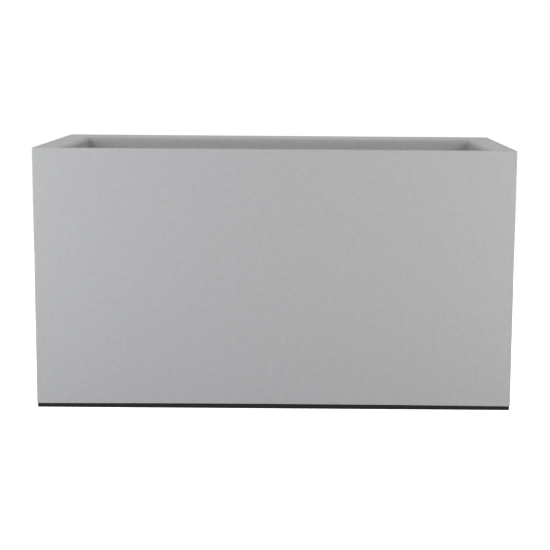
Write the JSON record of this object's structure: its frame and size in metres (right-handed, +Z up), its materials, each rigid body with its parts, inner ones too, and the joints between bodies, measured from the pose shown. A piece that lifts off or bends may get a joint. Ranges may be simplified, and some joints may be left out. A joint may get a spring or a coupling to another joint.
{
  "type": "planter trough",
  "caption": "Rectangular floor planter trough with upright walls, a wide rim falling inwards, a thin dark base edge and a lift-out slotted false floor.",
  "frame": {"origin": "middle of the underside, on the floor that the trough stands on", "axes": "+Z up, X along the long side, front faces -Y"},
  "size_m": [0.8, 0.4, 0.438],
  "materials": {
    "stone_grey": "matt, fine-grained stone effect",
    "base_black": "matt moulded",
    "inner_black": "matt moulded",
    "plug_black": "satin moulded",
    "seal_rubber": "smooth",
    "screw_steel": "bright zinc-plated"
  },
  "bodies": {
    "trough": {"shell": "stone_grey", "base_plate": "base_black", "base_screws": "screw_steel"},
    "plug": {"drain_plug": "plug_black", "plug_seal": "seal_rubber"},
    "left_deck": {"deck_left": "inner_black", "deck_legs_left": "inner_black", "wick_cup_left_1": "inner_black", "wick_cup_left_2": "inner_black"},
    "right_deck": {"deck_right": "inner_black", "deck_legs_right": "inner_black", "wick_cup_right_1": "inner_black", "wick_cup_right_2": "inner_black"}
  },
  "joints": [
    {"name": "left_deck_lift", "type": "slide", "parent": "trough", "child": "left_deck", "axis": [0, 0, 1], "range_m": [0, 0.42]},
    {"name": "right_deck_lift", "type": "slide", "parent": "trough", "child": "right_deck", "axis": [0, 0, 1], "range_m": [0, 0.42]},
    {"name": "plug_pull", "type": "slide", "parent": "trough", "child": "plug", "axis": [0, 0, -1], "range_m": [0, 0.036]}
  ]
}
